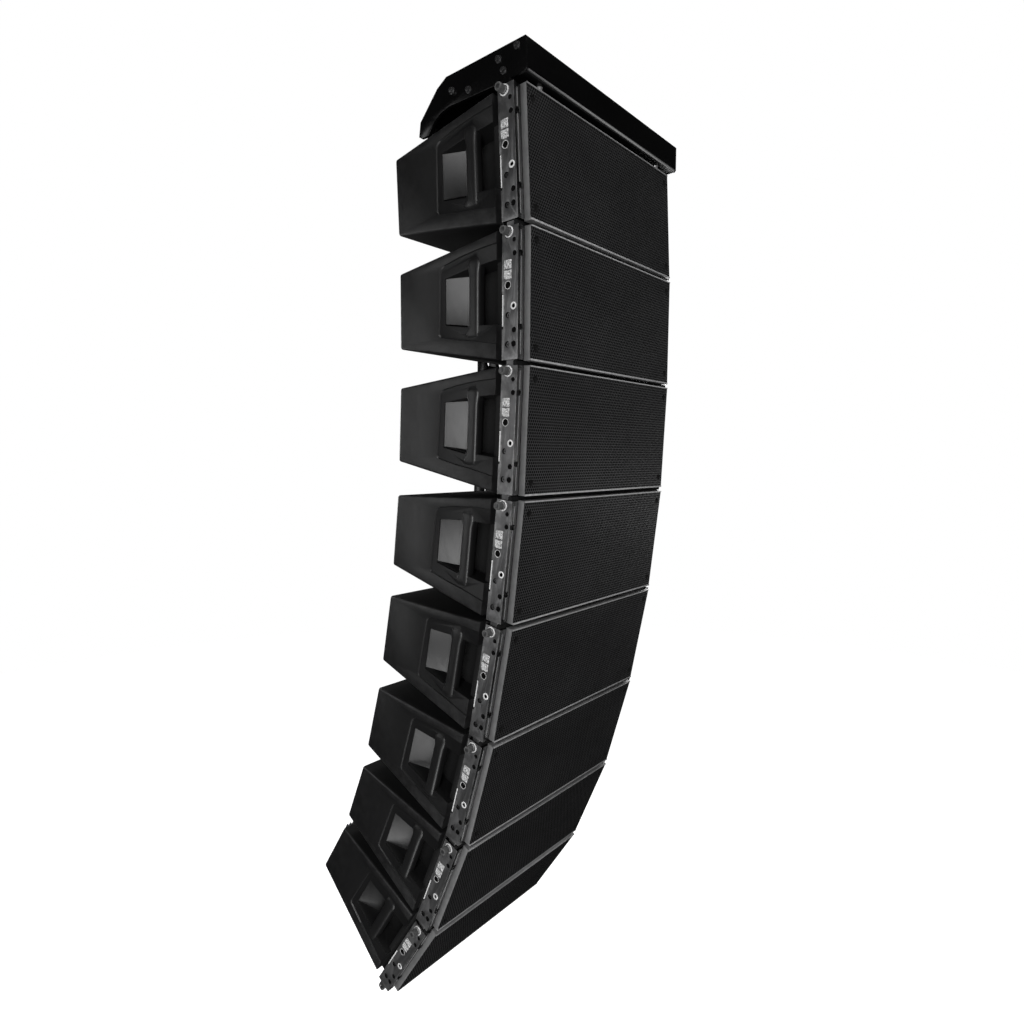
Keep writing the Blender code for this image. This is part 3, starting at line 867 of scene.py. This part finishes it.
def rig_trim_mesh(out):
    """Bushes, screws, link indicator and splay numbers on one side's upright, and the bead ahead of it."""
    parts = [
        (ring(0.0450, 0.0180, 0.0078, 0.0088, 0.0004, 0.0040), BUSH),
        (ring(0.0285, -0.0280, 0.0048, 0.0082, 0.0009, 0.0012), BUSH),
    ]
    screw_play = 0.0016
    for y, z, radius in SCREW_HOLES:
        parts.append((cap_screw(y, z, radius - screw_play), BOLT))
    strip = block((-0.3499, -0.3476), (0.0582, 0.0612), (-0.0700, -0.0010))
    parts.append((built(strip, bevel=0.0004), BUSH))
    # near-black cups inside the holes are painted shade
    for y, z, radius in PLAIN_HOLES + RING_HOLES + SCREW_HOLES:
        parts.append((hole_shade_lining(y, z, radius), HOLE_SHADE))
    for z_range in ((-0.1330, -0.0800), (-0.0680, 0.0780), (0.0900, 0.1330)):
        bead = block((-0.3414, -0.3388), (0.0150, 0.0166), z_range)
        parts.append((built(bead, bevel=0.0004), GRILLE_EDGE))
    for height in (-0.0740, 0.0840):
        clip = block((-0.3455, -0.3345), (0.0120, 0.0170), (height - 0.0055, height + 0.0055))
        parts.append((built(clip, bevel=0.001), PAINT))
    if out > 0.0:
        parts = [(mirrored(mesh), material) for mesh, material in parts]
    return gathered(parts + label_parts(out), "rigging_trim")


def ribbed_head():
    """Gripped head of a pin, with shallow ribs along it."""
    rib_count = 22
    rib_depth = 0.0007
    stations = [
        (-0.3568, 0.0078), (-0.3580, 0.0092), (-0.3718, 0.0092), (-0.3736, 0.0080), (-0.3738, 0.0060),
        (-0.3726, 0.0054),
    ]
    rings = []
    for along, radius in stations:
        ring_points = []
        for side, (cos, sin) in enumerate(turns(rib_count * 4)):
            ribbed = radius - (rib_depth if side % 4 in (2, 3) and radius > 0.0090 else 0.0)
            ring_points.append((along, ribbed * cos, ribbed * sin))
        rings.append(ring_points)
    return skinned(rings, "head")


def pin_mesh():
    """Quick-release pin about its own axis: shaft, collar ring, neck, ribbed head and button."""
    shaft = lathe([(-0.3310, 0.0033), (-0.3316, 0.0040), (-0.3520, 0.0040)], sides=24)
    collar = lathe([
        (-0.3503, 0.0118), (-0.3512, 0.0124), (-0.3526, 0.0124), (-0.3534, 0.0118), (-0.3534, 0.0100),
        (-0.3503, 0.0100),
    ], sides=40, closed=True)
    neck = lathe([(-0.3505, 0.0075), (-0.3580, 0.0075), (-0.3584, 0.0070)])
    button = lathe([(-0.3724, 0.0052), (-0.3736, 0.0048), (-0.3739, 0.0034)], sides=24)
    return gathered([
        (shaft, BRIGHT), (collar, BUSH), (neck, BRIGHT), (ribbed_head(), KNOB), (button, DARK_STEEL),
    ], "pin")


# ---- rear

def on_plate(profile, x, z, sides, closed=False):
    """Turned part on a rear plate, its profile measured out from the plate's face."""
    return lathe(profile, "Y", (x, PLATE_FACE, z), sides, closed)


def box_on_plate(x_range, y_range, z_range, bevel=0.0):
    """Block on a rear plate, its y range measured out from the plate's face."""
    low, high = y_range
    return built(block(x_range, (PLATE_FACE + low, PLATE_FACE + high), z_range), bevel=bevel)


def plate_parts():
    """Two rear plates with their screws, and the heat sink's fins on the left one."""
    screw = [(-0.0010, 0.0032), (0.0014, 0.0032), (0.0020, 0.0022)]
    parts = []
    for x_low, x_high in ((-0.330, -0.048), (0.048, 0.330)):
        parts.append((box_on_plate((x_low, x_high), (-0.0030, 0.0), (-0.074, 0.082), 0.0008), ANODISED))
        for x in (x_low + 0.007, x_high - 0.007):
            for z in (-0.066, 0.074):
                parts.append((on_plate(screw, x, z, 20), BOLT))
    fin_count = 22
    fin_pitch = 0.0112
    for number in range(fin_count):
        x = -0.312 + number * fin_pitch
        fin = box_on_plate((x, x + 0.0030), (-0.0005, 0.0180), (-0.056, 0.064), 0.0007)
        parts.append((fin, ANODISED))
    return parts


def socket_parts():
    """Mains inlet above its outlet, and two three-pin signal sockets."""
    mains_cup = [
        (-0.0005, 0.0165), (0.0070, 0.0165), (0.0080, 0.0155), (0.0080, 0.0125), (0.0010, 0.0120),
        (-0.0005, 0.0120),
    ]
    mains_core = [(-0.0005, 0.0095), (0.0050, 0.0095), (0.0056, 0.0088)]
    signal_cup = [(0.0018, 0.0110), (0.0046, 0.0110), (0.0052, 0.0104), (0.0052, 0.0088), (0.0018, 0.0086)]
    contact = [(0.0020, 0.0012), (0.0044, 0.0012)]
    contact_circle = 0.0045
    heights = (0.040, -0.030)
    parts = []
    for z, shell in zip(heights, (BLUE_SHELL, GREY_SHELL)):
        parts.append((on_plate(mains_cup, 0.100, z, 32, True), shell))
        parts.append((on_plate(mains_core, 0.100, z, 24), KNOB))
    x = 0.170
    for z in heights:
        flange = box_on_plate((x - 0.0130, x + 0.0130), (-0.0005, 0.0022), (z - 0.0155, z + 0.0155), 0.0012)
        parts += [(flange, DARK_STEEL), (on_plate(signal_cup, x, z, 32, True), DARK_STEEL)]
        for spot in arc((x, z), contact_circle, 90.0, 330.0, 2):
            parts.append((on_plate(contact, *spot, 12), BRIGHT))
    return parts


def knob_parts():
    """Two level knobs, each with its mark and a ring of dots."""
    profile = [(-0.0005, 0.0085), (0.0090, 0.0080), (0.0100, 0.0070), (0.0102, 0.0030)]
    dot = [(-0.0002, 0.0007), (0.0002, 0.0007)]
    dot_circle = 0.0125
    z = 0.040
    parts = []
    for x in (0.235, 0.285):
        mark = box_on_plate((x - 0.0006, x + 0.0006), (0.0100, 0.0106), (0.0425, 0.0470))
        parts += [(on_plate(profile, x, z, 32), KNOB), (mark, LABEL)]
        for spot in arc((x, z), dot_circle, 225.0, -45.0, 10):
            parts.append((on_plate(dot, *spot, 10), LABEL))
    return parts


def amp_panel_mesh():
    """Amplifier plates beside the rear bay: heat sink on the left, sockets and knobs on the right."""
    return gathered(plate_parts() + socket_parts() + knob_parts(), "amp_panel")


# ---- pieces that refine a CAD node

def refined(node, bevel, front_chamfer=0.0):
    """Black copy of a CAD node: corners welded, flat faces merged and every edge rounded."""
    shape = bmesh.new()
    shape.from_mesh(frame["nodes"][node].data)
    bmesh.ops.remove_doubles(shape, verts=shape.verts, dist=0.00002)
    bmesh.ops.dissolve_limit(shape, angle_limit=math.radians(0.5), verts=shape.verts, edges=shape.edges)
    if front_chamfer:
        near = 0.0005
        front = min(vert.co.y for vert in shape.verts) + near
        low = min(vert.co.z for vert in shape.verts if vert.co.y < front) + near
        corner = {vert for vert in shape.verts if vert.co.y < front and vert.co.z < low}
        edges = [edge for edge in shape.edges if corner.issuperset(edge.verts)]
        bmesh.ops.bevel(shape, geom=edges, offset=front_chamfer, segments=1, affect="EDGES")
    mesh = evaluated(written(shape, "refined"), [round_edges(bevel, 25.0)], node + "_skin")
    return smooth(painted(mesh, PAINT), SKIN_SMOOTH_DEG)


def hex_bolt(x, y, z, radius, out):
    """Washer and hex head standing out from a plate along X."""
    washer = lathe([
        (x, radius * 1.35), (x + out * 0.0012, radius * 1.35), (x + out * 0.0014, radius * 1.25),
    ], "X", (0.0, y, z), 28)
    low, high = sorted((x + out * 0.0012, x + out * 0.0070))
    head = evaluated(drill(y, z, radius, low, high, 6), [round_edges(0.0006)], "head")
    return [(washer, BOLT), (head, BOLT)]


def weld_mesh(start, end):
    """Rippled weld bead along a straight run between two points."""
    start, end = Vector(start), Vector(end)
    run = end - start
    along = run.normalized()
    side = along.orthogonal().normalized()
    other = along.cross(side)
    ripple = 0.0045
    steps = 2 * max(6, int(run.length / ripple))
    rings = []
    for number in range(steps + 1):
        swell = WELD_RADIUS * (1.0 if number % 2 else 0.82)
        centre = start + run * (number / steps)
        rings.append([centre + swell * (side * cos + other * sin) for cos, sin in turns(8)])
    return skinned(rings, "weld")


# ---- placing

def put(name, mesh, body, place, replaced=None):
    """Place a piece at a module's or the frame's place and let it ride."""
    piece = linked(name, mesh)
    piece.matrix_world = place
    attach(piece, body)
    if replaced:
        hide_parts(replaced)


def joint(name):
    """Joint record of that name."""
    return next(item for item in frame["joints"] if item["name"] == name)


def hinge_places():
    """World place of each module's front pins, turned as the module hangs."""
    places = []
    turned = 0.0
    for number, splay in enumerate(SPLAYS_DEG, start=1):
        turned += splay
        at = Vector(joint(f"splay_{number}")["pos_m"])
        places.append(Matrix.Translation(at) @ Matrix.Rotation(math.radians(turned), 4, "X"))
    return places


def build_modules():
    """Dress the eight modules with shared meshes."""
    woofer = woofer_mesh()
    upright = rigging_mesh()
    # piece, mesh, x, CAD node it replaces, slot
    extra = (0.0, None, None)
    pieces = (
        ("cabinet_shell", shell_mesh(), 0.0, "cabinet", "cabinet_moulding"),
        ("rear_rail", rear_rail_mesh(), 0.0, None, "rigging_steel"),
        ("gap_seal", seal_mesh(), *extra),
        ("baffle", baffle_mesh(), *extra),
        ("woofer_left", woofer, -WOOFER_X, None, None),
        ("woofer_right", woofer, WOOFER_X, None, None),
        ("waveguide", waveguide_mesh(), *extra),
        ("grille_sheet", grille_sheet_mesh(), 0.0, "grille", "grille_steel"),
        ("grille_frame", grille_frame_mesh(), *extra),
        ("grille_foam", foam_mesh(), *extra),
        ("rig_upright_left", upright, 0.0, "rig_left", "rigging_steel"),
        ("rig_upright_right", mirrored(upright), 0.0, "rig_right", "rigging_steel"),
        ("rig_trim_left", rig_trim_mesh(-1.0), *extra),
        ("rig_trim_right", rig_trim_mesh(1.0), *extra),
        ("amp_panel", amp_panel_mesh(), *extra),
    )
    pin_left = pin_mesh()
    pins = (("left", pin_left), ("right", mirrored(pin_left)))
    for number, hinge in enumerate(hinge_places(), start=1):
        place = hinge @ Matrix.Translation((0.0, -PIN_Y, -PIN_Z))
        for name, mesh, x, node, slot in pieces:
            if name == "gap_seal" and number == 1:
                continue
            replaced = f"{node}_{number}" if node else None
            shifted = place @ Matrix.Translation((x, 0.0, 0.0))
            put(f"{name}_{number}", mesh, f"module_{number}", shifted, replaced)
        for side, mesh in pins:
            pin = f"pin_{side}_{number}"
            put(f"release_pin_{side}_{number}", mesh, pin, hinge, pin)
        link = f"rear_link_{number}"
        put(f"splay_link_{number}", refined(link, 0.0008), link, WORLD, link)


def build_fly_frame():
    """Dress the fly frame; its bolts and welds are placed about the front pins."""
    pins = Matrix.Translation(Vector(joint("splay_1")["pos_m"]))
    skin = refined("fly_frame", 0.0016, front_chamfer=0.0045)
    put("fly_frame_skin", skin, "root", WORLD, "fly_frame")
    put("pickup_bar_skin", refined("pickup_bar", 0.0012), "root", WORLD, "pickup_bar")
    plate_x = 0.3438
    weld_x = 0.3352
    bolt_spots = ((0.022, 0.074), (0.008, 0.046), (0.112, 0.040), (-0.030, 0.085), (0.165, 0.055))
    weld_runs = (
        ((-0.0480, 0.0838), (0.1800, 0.0838)), ((-0.0505, 0.0350), (-0.0505, 0.0820)),
        ((0.1860, 0.0800), (0.2540, 0.0140)),
    )
    bolts = []
    welds = []
    for out in (-1.0, 1.0):
        for y, z in bolt_spots:
            bolts += hex_bolt(out * plate_x, y, z, 0.0060, out)
        for start, end in weld_runs:
            welds.append((weld_mesh((out * weld_x, *start), (out * weld_x, *end)), PAINT))
    put("frame_bolts", gathered(bolts, "frame_bolts"), "root", pins)
    put("frame_welds", gathered(welds, "frame_welds"), "root", pins)
    for side in ("left", "right"):
        painted(frame["nodes"][f"stop_stud_{side}"].data, BRIGHT)


# ---- studio

def emitter(name, location, target, energy, size):
    """Soft rectangular light aimed at a point."""
    light = bpy.data.lights.new(name, "AREA")
    light.energy = energy
    light.shape = "RECTANGLE"
    light.size, light.size_y = size
    lamp = linked(name, light)
    lamp.location = location
    lamp.rotation_euler = (Vector(target) - Vector(location)).to_track_quat("-Z", "Y").to_euler()


def build_surround():
    """White to the camera, but almost no light on the object."""
    world = bpy.data.worlds.new("studio")
    scene.world = world
    world.use_nodes = True
    tree = world.node_tree
    white = (1.0, 1.0, 1.0, 1.0)
    backdrop = tree.nodes["Background"]
    backdrop.inputs["Color"].default_value = white
    backdrop.inputs["Strength"].default_value = 1.0
    fill = tree.nodes.new("ShaderNodeBackground")
    fill.inputs["Color"].default_value = white
    fill.inputs["Strength"].default_value = 0.008
    path = tree.nodes.new("ShaderNodeLightPath")
    choose = tree.nodes.new("ShaderNodeMixShader")
    tree.links.new(path.outputs["Is Camera Ray"], choose.inputs["Fac"])
    tree.links.new(fill.outputs["Background"], choose.inputs[1])
    tree.links.new(backdrop.outputs["Background"], choose.inputs[2])
    tree.links.new(choose.outputs["Shader"], tree.nodes["World Output"].inputs["Surface"])


def build_floor():
    """Pale floor far below, seen by the camera only."""
    shape = bmesh.new()
    bmesh.ops.create_circle(shape, cap_ends=True, segments=96, radius=9.0)
    floor = linked("floor", written(shape, "floor"))
    floor.location = (0.0, 0.0, -3.6)
    floor.visible_diffuse = False
    floor.visible_glossy = False
    paper = Nodes("floor_paper")
    fleck = paper.patches(3.0, 4.0, 0.6, 0.3, 0.7)
    material = paper.finish(paper.mix(fleck, (0.86, 0.86, 0.86), (0.90, 0.90, 0.90)), 0.9, specular=0.1)
    paper.shader.inputs["Emission Color"].default_value = (1.0, 1.0, 1.0, 1.0)
    paper.shader.inputs["Emission Strength"].default_value = 1.0
    floor.data.materials.append(material)


def build_lights():
    """Soft lights round the array, which show mostly as reflections in its black faces."""
    middle = (-0.2, 0.0, -1.0)
    emitter("key", (-3.0, -1.6, -1.0), middle, 96.0, (1.0, 3.1))
    emitter("left_rear", (-2.9, 2.4, -0.75), middle, 15.0, (1.1, 2.4))
    emitter("right_front", (2.6, -1.9, -1.2), middle, 9.0, (1.2, 2.8))
    emitter("front", (-0.6, -2.2, 2.4), (-0.1, 0.0, -1.2), 60.0, (1.0, 1.0))
    emitter("low", (-1.5, -0.4, -3.2), (-0.3, 0.1, -2.0), 18.0, (1.2, 1.0))
    emitter("edge", (2.0, -1.38, -1.36), (0.0, -0.30, -0.10), 7.0, (1.3, 0.4))
    emitter("right", (3.4, 0.9, -0.5), middle, 25.0, (1.0, 1.4))
    emitter("back", (0.0, 3.8, -0.6), middle, 45.0, (1.2, 1.6))
    emitter("top", (0.2, 0.9, 3.4), middle, 40.0, (1.4, 1.0))


def build_camera():
    """Camera at the front left, a third of the way down, looking slightly downwards."""
    azimuth = math.radians(-50.23)
    elevation = math.radians(4.54)
    from_pins = Vector((-1.5339, -1.0063, -0.7904))
    level = math.cos(elevation)
    back = Vector((math.sin(azimuth) * level, -math.cos(azimuth) * level, math.sin(elevation)))
    right = Vector((math.cos(azimuth), math.sin(azimuth), 0.0))
    up = back.cross(right)
    camera_data = bpy.data.cameras.new("camera")
    camera_data.sensor_width = 36.0
    camera_data.lens = 24.19
    camera_data.clip_start = 0.05
    camera = linked("camera", camera_data)
    turn = Matrix((right, up, back)).transposed().to_4x4()
    pins = Vector(joint("splay_1")["pos_m"])
    camera.matrix_world = Matrix.Translation(pins + from_pins) @ turn
    scene.camera = camera


scene.view_settings.view_transform = "Standard"
build_camera()
build_modules()
build_fly_frame()
build_surround()
build_floor()
build_lights()
